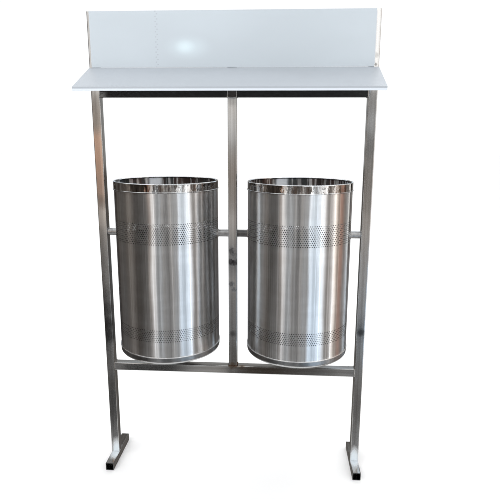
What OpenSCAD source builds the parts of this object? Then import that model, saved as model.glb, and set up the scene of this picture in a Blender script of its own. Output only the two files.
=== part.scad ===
// Twin swing litter bin: two round perforated buckets hung on pivots in a
// welded square-tube stand, with a sloping canopy and an upright sign panel.
// Millimetres. +Z is up, +Y points to the back, the origin is on the ground
// under the centre post, in the middle of the overall box.

/* [Stand] */
// Overall width of the stand, over the two outer posts
frame_w = 812.8; // [800:0.2:840]
// Side of the square tube
tube = 25.4; // [24:0.2:26]
// Wall of the square tube
tube_wall = 1.5; // [1.2:0.1:2]
// Outside corner radius of the square tube
tube_corner = 2; // [1.6:0.2:3]
// Height of the post tops above the ground
post_top = 1391.7; // [1380:0.1:1420]
// Underside of the lower rail above the ground
lower_rail_z = 318.8; // [280:0.1:330]
// Underside of the upper rail above the ground
upper_rail_z = 1162.4; // [1162:0.1:1164]
// How far each foot reaches in front of the middle of its post
foot_ahead = 76.3; // [60:0.1:140]
// How far each foot reaches behind the middle of its post
foot_behind = 95.8; // [60:0.1:140]

/* [Canopy and sign panel] */
// Distance from the post fronts to the front lip of the canopy
canopy_reach = 137.1; // [110:0.1:160]
// Height of the back edge of the canopy
canopy_back_z = 1241.8; // [1240:0.1:1245]
// Height of the front edge of the canopy
canopy_front_z = 1178.2; // [1176:0.1:1182]
// Depth of the front lip
lip_h = 10; // [6:0.5:14]
// Canopy sheet thickness
canopy_t = 1.5; // [1:0.1:2]
// Width of the sign panel
panel_w = 792; // [760:1:800]
// Sideways offset of the sign panel
panel_x = -3; // [-4:0.5:4]
// Sign panel sheet thickness
panel_t = 1.2; // [1:0.1:1.5]

/* [Buckets] */
// Outside diameter of the bucket shell
bucket_d = 304.8; // [300:0.2:306]
// Bucket shell thickness
shell_t = 1; // [0.8:0.1:1.2]
// Height of the bucket bottom above the ground
bucket_z = 406; // [405:0.5:410]
// Height of the bucket from bottom to rim
bucket_h = 521; // [500:1:530]
// Distance of each bucket's axis from the middle of the stand
bucket_x = 198; // [196:0.5:199]
// Height of the rim ring
rim_h = 25.5; // [18:0.5:28]
// Height of the base ring
base_h = 21.4; // [16:0.2:28]
// Height of the pivot line above the ground
pivot_z = 769; // [768:0.5:770]

/* [Pivots] */
// Diameter of the pivot rods
rod_d = 12; // [10:0.5:12]
// Running clearance on radius between rod and sleeve
rod_gap = 0.05; // [0.03:0.01:0.09]
// Outside diameter of the sleeves
sleeve_d = 21.3; // [20:0.1:24]

/* [Hidden] */
$fn = 96;
eps = 0.5;

// the posts, the pivot line and the bucket axes all lie in the plane Y = 0,
// which is also the middle of the overall box
post_y = 0;
foot_len = foot_ahead + foot_behind;
post_front = post_y - tube / 2;                // front faces of the posts
lip_front = post_front - canopy_reach;
post_x = frame_w / 2 - tube / 2;
post_in = frame_w / 2 - tube;                  // inner faces of the outer posts
cap_t = 1.5;
tape_t = 0.8;
tube_in_r = max(0.4, tube_corner - tube_wall);

bucket_r = bucket_d / 2;
bucket_top = bucket_z + bucket_h;
ring_t = 1;
roll_r = 2.4;
bead_r = 1.5;
base_corner = 8;
doubler_t = 2;
doubler_w = 70;
thrust_t = 1.2;
end_gap = 0.5;                                 // running gap at each end of a sleeve
sleeve_in = 6;                                 // how far a sleeve stands inside the shell
nut_af = 19;
nut_h = 10.5;
washer_t = 1.5;
rivet_d = 4;
rivet_z = canopy_back_z - 21.8;

// distances along X, measured from the face of the post that carries the rod
gap_out = post_in - (bucket_x + bucket_r);     // post face to shell, outer side
gap_in = (bucket_x - bucket_r) - tube / 2;     // post face to shell, inner side
sleeve_0 = thrust_t + end_gap;
function sleeve_end(gap) = gap + sleeve_in;
function washer_0(gap) = sleeve_end(gap) + end_gap;
function nut_0(gap) = washer_0(gap) + washer_t;
function rod_end(gap) = nut_0(gap) + nut_h + 1.5;

steel = "#b9bab8";
polished = "#cfd1d2";
satin = "#a9a8a5";
dark_steel = "#26272a";
white_sheet = "#d5dce2";
zinc = "#a0a2a4";

// ---------------------------------------------------------------- square tube
module round_square(s, r) {
  union() {
    square([s - 2 * r, s], center = true);
    square([s, s - 2 * r], center = true);
    for (x = [-1, 1]) for (y = [-1, 1])
      translate([x * (s / 2 - r), y * (s / 2 - r)]) circle(r = r, $fn = 32);
  }
}

// a tube standing on the XY plane
module tube_bar(l) {
  difference() {
    linear_extrude(height = l) round_square(tube, tube_corner);
    translate([0, 0, -eps]) linear_extrude(height = l + 2 * eps)
      round_square(tube - 2 * tube_wall, tube_in_r);
  }
}

module x_hole(d, z, from, to) {
  translate([from, 0, z]) rotate([0, 90, 0]) cylinder(d = d, h = to - from);
}

// ---------------------------------------------------------------------- stand
module foot(side) {
  color(steel)
  translate([side * post_x, foot_behind, tube / 2]) rotate([90, 0, 0])
    tube_bar(foot_len);
}

module rivet_holes() {
  for (x = [-1, 1]) translate([x * 7.5, 0, rivet_z - rivet_d])
    translate([0, 0, rivet_d]) rotate([90, 0, 0])
      cylinder(d = rivet_d, h = tube / 2 + 2);
}

module outer_post(side) {
  color(steel)
  translate([side * post_x, post_y, 0]) difference() {
    translate([0, 0, tube]) tube_bar(post_top - cap_t - tube);
    x_hole(rod_d, pivot_z, -tube, tube);
    rivet_holes();
  }
}

module center_post() {
  color(steel)
  translate([0, post_y, 0]) difference() {
    translate([0, 0, lower_rail_z + tube])
      tube_bar(post_top - cap_t - lower_rail_z - tube);
    x_hole(rod_d, pivot_z, -tube, tube);
    rivet_holes();
  }
}

module rail(from, to, z) {
  translate([from, post_y, z + tube / 2]) rotate([0, 90, 0])
    tube_bar(to - from);
}

module lower_rail() { color(steel) rail(-post_in, post_in, lower_rail_z); }
module upper_rail_left() { color(dark_steel) rail(-post_in, -tube / 2, upper_rail_z); }
module upper_rail_right() { color(dark_steel) rail(tube / 2, post_in, upper_rail_z); }

module post_caps() {
  color(steel)
  for (x = [-post_x, 0, post_x]) translate([x, post_y, post_top - cap_t])
    linear_extrude(height = cap_t) round_square(tube, tube_corner);
}

// --------------------------------------------------------- canopy, sign panel
// side profile of a folded sheet: lip, slope and back flange, in (Y, Z)
slope = (canopy_back_z - canopy_front_z) / ((post_front - canopy_t) - lip_front);
flange_y = post_front - canopy_t;
under = canopy_t * sqrt(1 + slope * slope);    // sheet thickness measured upright
flange_bottom = canopy_back_z - 35;

module canopy_profile() {
  polygon([
    [lip_front, canopy_front_z - lip_h],
    [lip_front, canopy_front_z],
    [flange_y, canopy_back_z],
    [post_front, canopy_back_z + slope * canopy_t],
    [post_front, flange_bottom],
    [flange_y, flange_bottom],
    [flange_y, canopy_back_z - under],
    [lip_front + canopy_t, canopy_front_z - under + slope * canopy_t],
    [lip_front + canopy_t, canopy_front_z - lip_h]
  ]);
}

module canopy() {
  color(white_sheet)
  difference() {
    translate([-frame_w / 2, 0, 0]) rotate([90, 0, 90])
      linear_extrude(height = frame_w) canopy_profile();
    for (c = [-post_x, 0, post_x]) for (x = [-7.5, 7.5])
      translate([c + x, post_front + 1, rivet_z]) rotate([90, 0, 0])
        cylinder(d = rivet_d, h = canopy_t + 2);
  }
}

// triangular stiffener between the slope and the back flange
module canopy_bracket(x) {
  reach = 107.8;
  color(white_sheet)
  translate([x - 1.5, 0, 0]) rotate([90, 0, 90]) linear_extrude(height = 3)
    polygon([
      [flange_y, canopy_back_z - under],
      [flange_y, flange_bottom + 1],
      [flange_y - reach, canopy_back_z - under - slope * reach]
    ]);
}

module rivet() {
  // domed head in front of the flange, shank through flange and post wall
  rotate([90, 0, 0]) union() {
    translate([0, 0, -canopy_t - tube_wall - 1]) cylinder(d = rivet_d, h = canopy_t + tube_wall + 1);
    intersection() {
      translate([0, 0, -3.2]) sphere(r = 5.1, $fn = 48);
      cylinder(d = 8, h = 4);
    }
  }
}

module canopy_rivets() {
  color(zinc)
  for (c = [-post_x, 0, post_x]) for (x = [-7.5, 7.5])
    translate([c + x, flange_y, rivet_z]) rivet();
}

panel_bottom = canopy_back_z + 0.9;
module sign_panel() {
  color(white_sheet)
  translate([panel_x - panel_w / 2, post_front - tape_t - panel_t, panel_bottom])
    cube([panel_w, panel_t, post_top - panel_bottom]);
}

module panel_tape() {
  color("dimgray")
  for (x = [-post_x + 4, 0, post_x - 6])
    translate([x - 7, post_front - tape_t, panel_bottom + 6])
      cube([14, tape_t, post_top - panel_bottom - 12]);
}

// --------------------------------------------------------------------- pivots
module rod(from, to) {
  color(steel)
  translate([from, post_y, pivot_z]) rotate([0, 90, 0]) union() {
    translate([0, 0, 0.6]) cylinder(d = rod_d, h = to - from - 1.2);
    cylinder(d1 = rod_d - 1.2, d2 = rod_d, h = 0.6);
    translate([0, 0, to - from - 0.6]) cylinder(d1 = rod_d, d2 = rod_d - 1.2, h = 0.6);
  }
}

module left_pivot_rod() { rod(-frame_w / 2 + 0.2, -post_in + rod_end(gap_out)); }
module right_pivot_rod() { rod(post_in - rod_end(gap_out), frame_w / 2 - 0.2); }
module center_pivot_rod() { rod(-tube / 2 - rod_end(gap_in), tube / 2 + rod_end(gap_in)); }

// calls its children at each of the four pivots, with +Z of the child running
// from the post face along the rod into the bucket
module at_pivots() {
  translate([-post_in, post_y, pivot_z]) rotate([0, 90, 0]) child_out() children();
  translate([post_in, post_y, pivot_z]) rotate([0, -90, 0]) child_out() children();
  translate([-tube / 2, post_y, pivot_z]) rotate([0, -90, 0]) children();
  translate([tube / 2, post_y, pivot_z]) rotate([0, 90, 0]) children();
}
module child_out() { translate([0, 0, gap_out - gap_in]) children(); }

module ring_plate(d, bore, t) {
  difference() {
    cylinder(d = d, h = t);
    translate([0, 0, -eps]) cylinder(d = bore, h = t + 2 * eps);
  }
}

module thrust_washers() {
  color(zinc) {
    for (s = [-1, 1]) {
      translate([s * post_in, post_y, pivot_z]) rotate([0, -90 * s, 0])
        ring_plate(sleeve_d + 2, rod_d, thrust_t);
      translate([s * tube / 2, post_y, pivot_z]) rotate([0, 90 * s, 0])
        ring_plate(sleeve_d + 2, rod_d, thrust_t);
    }
  }
}

module retaining_washers() {
  color(zinc) at_pivots() translate([0, 0, washer_0(gap_in)])
    ring_plate(24, rod_d, washer_t);
}

module hex_nut() {
  difference() {
    intersection() {
      rotate([0, 0, 30]) cylinder(d = nut_af / cos(30), h = nut_h, $fn = 6);
      // the chamfered corners of the nut's outer end
      rotate_extrude() polygon([[0, 0], [nut_af / 2 + 1.6, 0],
        [nut_af / 2 + 1.6, nut_h - 1], [nut_af / 2 - 0.4, nut_h], [0, nut_h]]);
    }
    translate([0, 0, -eps]) cylinder(d = rod_d, h = nut_h + 2 * eps);
  }
}

module lock_nuts() {
  color(zinc) at_pivots() translate([0, 0, nut_0(gap_in)]) hex_nut();
}

// -------------------------------------------------------------------- buckets
module at_bucket(side) { translate([side * bucket_x, post_y, 0]) children(); }

module bucket_shell(side) {
  color(satin)
  at_bucket(side) difference() {
    translate([0, 0, bucket_z + base_corner])
      cylinder(r = bucket_r, h = bucket_h - base_corner - 2 * roll_r);
    translate([0, 0, bucket_z])
      cylinder(r = bucket_r - shell_t, h = bucket_h);
    x_hole(sleeve_d, pivot_z, -bucket_r - 5, bucket_r + 5);
  }
}

module bucket_rim(side) {
  color(polished)
  at_bucket(side) rotate_extrude() union() {
    translate([bucket_r, bucket_top - rim_h]) square([ring_t, rim_h - roll_r]);
    translate([bucket_r + ring_t - roll_r, bucket_top - roll_r]) circle(r = roll_r, $fn = 32);
    translate([bucket_r + ring_t - 0.2, bucket_top - rim_h + bead_r])
      intersection() {
        circle(r = bead_r, $fn = 32);
        translate([-ring_t + 0.2, -bead_r]) square([4, 2 * bead_r]);
      }
  }
}

module bucket_base_ring(side) {
  z0 = bucket_z;
  r_out = bucket_r + ring_t;
  color(polished)
  at_bucket(side) rotate_extrude() union() {
    translate([bucket_r, z0 + base_corner]) square([ring_t, base_h - base_corner]);
    intersection() {
      translate([r_out - base_corner, z0 + base_corner]) difference() {
        circle(r = base_corner, $fn = 64);
        circle(r = base_corner - ring_t, $fn = 64);
      }
      translate([r_out - base_corner, z0]) square([base_corner, base_corner]);
    }
    translate([r_out - base_corner - 8, z0]) square([8, ring_t]);
    translate([bucket_r + ring_t - 0.2, z0 + base_h - bead_r])
      intersection() {
        circle(r = bead_r, $fn = 32);
        translate([-ring_t + 0.2, -bead_r]) square([4, 2 * bead_r]);
      }
  }
}

module bucket_bottom(side) {
  color(satin)
  at_bucket(side) translate([0, 0, bucket_z + ring_t]) difference() {
    cylinder(r = bucket_r + ring_t - base_corner - 1, h = 1.5);
    for (a = [0 : 72 : 288]) rotate([0, 0, a + 18])
      translate([70, 0, -eps]) cylinder(d = 10, h = 3, $fn = 32);
  }
}

// a sleeve welded through the shell; it runs on the rod
module sleeve(side, outer) {
  gap = outer ? gap_out : gap_in;
  face = outer ? side * post_in : side * tube / 2;
  dir = outer ? -side : side;
  color(steel)
  translate([face, post_y, pivot_z]) rotate([0, 90 * dir, 0])
    translate([0, 0, sleeve_0]) difference() {
      cylinder(d = sleeve_d, h = sleeve_end(gap) - sleeve_0);
      translate([0, 0, -eps])
        cylinder(d = rod_d + 2 * rod_gap, h = sleeve_end(gap) - sleeve_0 + 2 * eps);
    }
}

// curved plate welded behind the shell around the sleeve
module doubler(side, dir) {
  color(satin)
  at_bucket(side) intersection() {
    difference() {
      translate([0, 0, pivot_z - doubler_w / 2])
        cylinder(r = bucket_r - shell_t, h = doubler_w);
      translate([0, 0, pivot_z - doubler_w])
        cylinder(r = bucket_r - shell_t - doubler_t, h = 2 * doubler_w);
      x_hole(sleeve_d, pivot_z, -bucket_r - 5, bucket_r + 5);
    }
    translate([dir > 0 ? bucket_r / 2 : -bucket_r / 2 - bucket_r, -doubler_w / 2, pivot_z - doubler_w])
      cube([bucket_r, doubler_w, 2 * doubler_w]);
  }
}

foot(-1);  // left_foot
foot(1);  // right_foot
outer_post(-1);  // left_post
outer_post(1);  // right_post
center_post();
lower_rail();
upper_rail_left();
upper_rail_right();
post_caps();
canopy();
canopy_bracket(-post_x);  // canopy_bracket_left
canopy_bracket(0);  // canopy_bracket_center
canopy_bracket(post_x);  // canopy_bracket_right
canopy_rivets();
sign_panel();
panel_tape();
left_pivot_rod();
center_pivot_rod();
right_pivot_rod();
thrust_washers();
retaining_washers();
lock_nuts();
bucket_shell(-1);  // left_bin_shell
bucket_rim(-1);  // left_bin_rim
bucket_base_ring(-1);  // left_bin_base_ring
bucket_bottom(-1);  // left_bin_bottom
sleeve(-1, true);  // left_bin_outer_sleeve
sleeve(-1, false);  // left_bin_inner_sleeve
doubler(-1, -1);  // left_bin_outer_doubler
doubler(-1, 1);  // left_bin_inner_doubler
bucket_shell(1);  // right_bin_shell
bucket_rim(1);  // right_bin_rim
bucket_base_ring(1);  // right_bin_base_ring
bucket_bottom(1);  // right_bin_bottom
sleeve(1, true);  // right_bin_outer_sleeve
sleeve(1, false);  // right_bin_inner_sleeve
doubler(1, 1);  // right_bin_outer_doubler
doubler(1, -1);  // right_bin_inner_doubler
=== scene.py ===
# Looks of the twin swing litter bin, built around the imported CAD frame.
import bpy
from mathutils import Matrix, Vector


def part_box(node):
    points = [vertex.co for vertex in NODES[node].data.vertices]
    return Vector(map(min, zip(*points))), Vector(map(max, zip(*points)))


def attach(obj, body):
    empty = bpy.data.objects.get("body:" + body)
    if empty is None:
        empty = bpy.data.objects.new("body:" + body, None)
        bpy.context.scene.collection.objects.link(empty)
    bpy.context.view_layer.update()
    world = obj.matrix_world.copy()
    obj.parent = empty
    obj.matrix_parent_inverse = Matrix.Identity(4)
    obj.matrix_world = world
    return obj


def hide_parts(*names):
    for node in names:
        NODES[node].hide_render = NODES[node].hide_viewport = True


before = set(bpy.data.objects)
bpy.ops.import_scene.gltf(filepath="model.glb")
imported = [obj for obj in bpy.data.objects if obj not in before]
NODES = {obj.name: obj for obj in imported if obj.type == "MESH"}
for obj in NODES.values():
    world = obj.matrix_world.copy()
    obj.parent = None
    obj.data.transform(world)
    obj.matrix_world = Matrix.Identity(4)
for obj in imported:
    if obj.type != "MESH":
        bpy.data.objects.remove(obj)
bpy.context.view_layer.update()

import math
import bpy
import numpy as np
from mathutils import Matrix, Vector

scene = bpy.context.scene


# ------------------------------------------------------------------ materials
class Tree:
    """A small helper for building a material's node tree."""

    def __init__(self, name):
        self.mat = bpy.data.materials.new(name)
        self.mat.use_nodes = True
        self.t = self.mat.node_tree
        self.t.nodes.clear()
        self.out = self.t.nodes.new("ShaderNodeOutputMaterial")
        self.bsdf = self.t.nodes.new("ShaderNodeBsdfPrincipled")
        self.t.links.new(self.bsdf.outputs[0], self.out.inputs[0])

    def n(self, kind, **props):
        node = self.t.nodes.new("ShaderNode" + kind)
        for k, v in props.items():
            setattr(node, k, v)
        return node

    def put(self, socket, value):
        if isinstance(value, bpy.types.NodeSocket):
            self.t.links.new(value, socket)
        else:
            socket.default_value = value

    def math(self, op, a, b=0.0, c=0.0, clamp=False):
        m = self.n("Math", operation=op, use_clamp=clamp)
        for s, v in zip(m.inputs, (a, b, c)):
            self.put(s, v)
        return m.outputs[0]

    def vec(self, x, y, z):
        m = self.n("CombineXYZ")
        for s, v in zip(m.inputs, (x, y, z)):
            self.put(s, v)
        return m.outputs[0]

    def xyz(self, v=None):
        if v is None:
            v = self.n("TexCoord").outputs["Object"]
        s = self.n("SeparateXYZ")
        self.put(s.inputs[0], v)
        return s.outputs[0], s.outputs[1], s.outputs[2]

    def noise(self, vector, scale=1.0, detail=2.0, rough=0.5, distortion=0.0):
        m = self.n("TexNoise")
        self.put(m.inputs["Vector"], vector)
        m.inputs["Scale"].default_value = scale
        m.inputs["Detail"].default_value = detail
        m.inputs["Roughness"].default_value = rough
        m.inputs["Distortion"].default_value = distortion
        return m.outputs[0]

    def ramp(self, value, lo, hi, a=0.0, b=1.0, smooth=True):
        m = self.n("MapRange", interpolation_type="SMOOTHSTEP" if smooth else "LINEAR")
        self.put(m.inputs["Value"], value)
        m.inputs["From Min"].default_value = lo
        m.inputs["From Max"].default_value = hi
        m.inputs["To Min"].default_value = a
        m.inputs["To Max"].default_value = b
        return m.outputs[0]

    def mix(self, fac, a, b):
        m = self.n("Mix", data_type="RGBA")
        self.put(m.inputs[0], fac)
        for s, v in ((m.inputs[6], a), (m.inputs[7], b)):
            self.put(s, (*v, 1.0) if isinstance(v, tuple) and len(v) == 3 else v)
        return m.outputs[2]

    def bump(self, height, strength, distance, normal=None):
        m = self.n("Bump")
        m.inputs["Strength"].default_value = strength
        m.inputs["Distance"].default_value = distance
        self.put(m.inputs["Height"], height)
        if normal is not None:
            self.put(m.inputs["Normal"], normal)
        return m.outputs[0]

    def set(self, **values):
        for k, v in values.items():
            s = self.bsdf.inputs[k.replace("_", " ")]
            self.put(s, (*v, 1.0) if isinstance(v, tuple) and len(v) == 3 else v)
        return self.mat


def near(t, coord, at, width):
    """1 within about width of coord == at, falling smoothly to 0."""
    d = t.math("ABSOLUTE", t.math("SUBTRACT", coord, at))
    return t.ramp(d, width, width * 0.25)


def tube_steel(name, axis, spots=(), soot=(), smudges=(), grime=(), frost=(), frost_side="y", top_z=None):
    """Satin square tube with long grinding lines down axis.
    spots: (x, y, z, radius, strength) heat-tinted places; soot: pale ash;
    smudges: dark greasy marks; grime: soft grey veils, painted dark reflections low on the posts,
    painted shade on the middle post just under the canopy, real marks high on the right post;
    frost: (x, y, z, rx, ry, rz, strength) painted highlights, matt pale places by the welds
    that paint in a bright reflection, on the tube's front ("y") or its top ("z");
    top_z: the foot of a short length of the middle post painted as dark as the rails either side, painted shade under
    the canopy."""
    t = Tree(name)
    x, y, z = t.xyz()
    fine, slow = 1500.0, 5.0
    k = [slow if a == axis else fine for a in "xyz"]
    lines = t.noise(t.vec(t.math("MULTIPLY", x, k[0]), t.math("MULTIPLY", y, k[1]),
                          t.math("MULTIPLY", z, k[2])), 1.0, 3.0, 0.6)
    k = [2.0 if a == axis else 120.0 for a in "xyz"]
    bands = t.noise(t.vec(t.math("MULTIPLY", x, k[0]), t.math("MULTIPLY", y, k[1]),
                          t.math("MULTIPLY", z, k[2])), 1.0, 2.0, 0.5)
    cloud = t.noise(t.vec(x, y, z), 9.0, 3.0, 0.55)
    col = t.mix(t.ramp(bands, 0.35, 0.65), (0.50, 0.485, 0.47), (0.64, 0.63, 0.615))
    col = t.mix(t.ramp(cloud, 0.55, 0.75, 0.0, 0.35), col, (0.42, 0.395, 0.37))
    rough = t.math("MULTIPLY_ADD", lines, 0.10, 0.06)
    for px, py, pz, r, s in spots:
        d = t.n("VectorMath", operation="DISTANCE")
        t.put(d.inputs[0], t.vec(x, y, z))
        d.inputs[1].default_value = (px, py, pz)
        wob = t.math("MULTIPLY_ADD", t.noise(t.vec(x, y, z), 90.0, 2.0), r * 0.9, d.outputs["Value"])
        edge = t.ramp(wob, r * 1.55, r * 0.85)
        col = t.mix(t.math("MULTIPLY", edge, s * 0.75), col, (0.34, 0.235, 0.15))
        core = t.ramp(wob, r * 1.0, r * 0.55)
        col = t.mix(t.math("MULTIPLY", core, s), col, (0.065, 0.045, 0.04))
        rough = t.math("MULTIPLY_ADD", core, 0.25 * s, rough)
    for px, py, pz, r, s in soot:
        d = t.n("VectorMath", operation="DISTANCE")
        t.put(d.inputs[0], t.vec(x, y, z))
        d.inputs[1].default_value = (px, py, pz)
        col = t.mix(t.math("MULTIPLY", t.ramp(d.outputs["Value"], r, r * 0.3), s), col, (0.78, 0.78, 0.77))
    blots = t.noise(t.vec(x, y, z), 210.0, 3.0, 0.6)
    for px, py, pz, r, s in smudges:
        d = t.n("VectorMath", operation="DISTANCE")
        t.put(d.inputs[0], t.vec(x, y, z))
        d.inputs[1].default_value = (px, py, pz)
        edge = t.math("MULTIPLY_ADD", blots, r * 1.8, d.outputs["Value"])
        mark = t.math("MULTIPLY", t.ramp(edge, r * 1.95, r * 1.35), s)
        col = t.mix(mark, col, (0.055, 0.05, 0.052))
        rough = t.math("MULTIPLY_ADD", mark, 0.3, rough)
    # painted shade: dark veils that paint in dark reflections low on the posts and the canopy's shade on the middle
    # post; those high on the right post are real marks
    for px, py, pz, r, s in grime:
        d = t.n("VectorMath", operation="DISTANCE")
        t.put(d.inputs[0], t.vec(x, y, z))
        d.inputs[1].default_value = (px, py, pz)
        wob = t.math("MULTIPLY_ADD", blots, r * 0.5, d.outputs["Value"])
        col = t.mix(t.math("MULTIPLY", t.ramp(wob, r * 1.3, r * 0.5), s), col, (0.10, 0.10, 0.098))
    # painted shade: just under the canopy the middle post is painted as dark as the rails
    if top_z is not None:
        top = t.math("MULTIPLY", t.ramp(z, top_z - 0.0015, top_z + 0.001), t.ramp(t.math("ABSOLUTE", x), 0.03, 0.02))
        top = t.math("MULTIPLY", top, t.ramp(z, top_z + 0.032, top_z + 0.026))
        col = t.mix(t.math("MULTIPLY", top, 0.93), col, (0.055, 0.046, 0.042))
        rough = t.math("MULTIPLY_ADD", top, 0.3, rough)
    nx, ny, nz = t.xyz(t.n("NewGeometry").outputs["Normal"])
    if axis == "y":
        # the foot's end faces are darker
        col = t.mix(t.ramp(t.math("ABSOLUTE", ny), 0.6, 0.9, 0.0, 0.8), col, (0.15, 0.15, 0.15))
    metal = 1.0
    facing = t.ramp(ny, -0.2, -0.6) if frost_side == "y" else t.ramp(nz, 0.2, 0.6)
    # painted highlight: matt pale patches by the welds that paint in a bright reflection
    for px, py, pz, rx, ry, rz, s in frost:
        d = t.n("VectorMath", operation="LENGTH")
        t.put(d.inputs[0], t.vec(t.math("MULTIPLY", t.math("SUBTRACT", x, px), 1 / rx),
                                 t.math("MULTIPLY", t.math("SUBTRACT", y, py), 1 / ry),
                                 t.math("MULTIPLY", t.math("SUBTRACT", z, pz), 1 / rz)))
        wob = t.math("MULTIPLY_ADD", t.math("SUBTRACT", bands, 0.5), 0.5, d.outputs["Value"])
        mask = t.math("MULTIPLY", t.math("MULTIPLY", t.ramp(wob, 1.15, 0.35), facing), s)
        col = t.mix(mask, col, (0.72, 0.775, 0.815))
        metal = t.math("MULTIPLY", metal, t.math("MULTIPLY_ADD", mask, -0.92, 1.0))
        rough = t.math("MULTIPLY_ADD", mask, 0.3, rough)
    bump = t.bump(lines, 0.25, 0.00004)
    bump = t.bump(t.noise(t.vec(x, y, z), 16.0, 2.0), 0.2, 0.0008, bump)
    return t.set(Base_Color=col, Metallic=metal, Roughness=rough, Normal=bump)


def bucket_steel(name, seed):
    """Rolled stainless sheet, finely brushed round the bucket: reflections stay
    sharp sideways and smear up and down. The object's origin is on its axis.
    The rolls have left faint upright lines in it."""
    t = Tree(name)
    x, y, z = t.xyz()
    ang = t.math("ARCTAN2", x, t.math("MULTIPLY", y, -1.0))
    hair = t.noise(t.vec(t.math("MULTIPLY", ang, 7.0), t.math("MULTIPLY", z, 1400.0), 0.0), 1.0, 3.0, 0.6)
    soft = t.noise(t.vec(t.math("MULTIPLY", ang, 1.3), t.math("MULTIPLY", z, 26.0), 2.0), 1.0, 3.0, 0.5)
    rough = t.math("MULTIPLY_ADD", hair, 0.03, 0.26)
    rough = t.math("MULTIPLY_ADD", soft, 0.02, rough)
    col = t.mix(t.ramp(soft, 0.35, 0.7), (0.61, 0.60, 0.59), (0.69, 0.685, 0.68))
    rolled = t.noise(t.vec(t.math("MULTIPLY", ang, 30.0), t.math("MULTIPLY", z, 0.5), seed), 1.0, 2.0, 0.6)
    col = t.mix(t.ramp(rolled, 0.46, 0.34, 0.0, 0.34), col, (0.36, 0.35, 0.345))
    col = t.mix(t.ramp(rolled, 0.56, 0.68, 0.0, 0.75), col, (0.95, 0.95, 0.95))
    waves = t.noise(t.vec(t.math("MULTIPLY", ang, 2.2), t.math("MULTIPLY", z, 3.4), 5.0), 1.0, 1.5, 0.4)
    normal = t.bump(waves, 0.55, 0.004)
    normal = t.bump(rolled, 0.6, 0.00004, normal)
    normal = t.bump(hair, 0.12, 0.00003, normal)
    tan = t.n("Tangent", direction_type="RADIAL", axis="Z")
    t.bsdf.inputs["Anisotropic"].default_value = 1.0
    t.bsdf.inputs["Anisotropic Rotation"].default_value = 0.25
    t.put(t.bsdf.inputs["Tangent"], tan.outputs[0])
    return t.set(Base_Color=col, Metallic=1.0, Roughness=rough, Normal=normal)


def mill_finish(name):
    """The bucket's inside: the same sheet, dull, with its colour darkened to paint in the shade inside the bucket."""
    t = Tree(name)
    x, y, z = t.xyz()
    ang = t.math("ARCTAN2", x, t.math("MULTIPLY", y, -1.0))
    grain = t.noise(t.vec(t.math("MULTIPLY", ang, 14.0), t.math("MULTIPLY", z, 700.0), 0.0), 1.0, 3.0, 0.6)
    stain = t.noise(t.vec(x, y, z), 11.0, 4.0, 0.6)
    col = t.mix(t.ramp(stain, 0.35, 0.7), (0.12, 0.118, 0.115), (0.18, 0.178, 0.175))
    return t.set(Base_Color=col, Metallic=1.0, Roughness=t.math("MULTIPLY_ADD", grain, 0.14, 0.30),
                 Normal=t.bump(grain, 0.2, 0.00005))


def buffed_inside(name, seed, pale_x):
    """The top of the bucket's inside: painted reflections, dark warm and pale blotches and a broad pale patch for a
    bright reflection.
    """
    t = Tree(name)
    x, y, z = t.xyz()
    grain = t.noise(t.vec(t.math("MULTIPLY", x, 300.0), t.math("MULTIPLY", y, 300.0), t.math("MULTIPLY", z, 90.0)), 1.0, 3.0, 0.6)
    ang = t.math("ARCTAN2", x, t.math("MULTIPLY", y, -1.0))
    blot = t.noise(t.vec(t.math("MULTIPLY", ang, 15.0), t.math("MULTIPLY_ADD", z, 4.0, seed), seed), 1.0, 2.0, 0.5)
    # painted reflection: the far side's broad pale patch
    pale = t.math("MULTIPLY", t.ramp(t.math("ABSOLUTE", t.math("SUBTRACT", x, pale_x)), 0.024, 0.012), t.ramp(y, 0.0, 0.02))
    pale = t.math("MULTIPLY", pale, t.ramp(z, 0.868, 0.888))
    # painted reflections: dark warm and pale blotches round the top of the inside
    tint = t.noise(t.vec(t.math("MULTIPLY", x, 24.0), t.math("MULTIPLY", y, 24.0), seed), 1.0, 1.0, 0.5)
    warm = t.mix(t.ramp(tint, 0.42, 0.58), (0.13, 0.095, 0.085), (0.13, 0.135, 0.135))
    col = t.mix(t.ramp(blot, 0.50, 0.60), warm, (0.80, 0.78, 0.77))
    col = t.mix(pale, col, (0.93, 0.96, 1.0))
    tan = t.n("Tangent", direction_type="RADIAL", axis="Z")
    t.bsdf.inputs["Anisotropic"].default_value = 0.9
    t.bsdf.inputs["Anisotropic Rotation"].default_value = 0.25
    t.put(t.bsdf.inputs["Tangent"], tan.outputs[0])
    return t.set(Base_Color=col, Metallic=t.math("MULTIPLY_ADD", pale, -0.8, 1.0),
                 Roughness=t.math("MULTIPLY_ADD", grain, 0.10, 0.36), Normal=t.bump(grain, 0.2, 0.00005))


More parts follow.
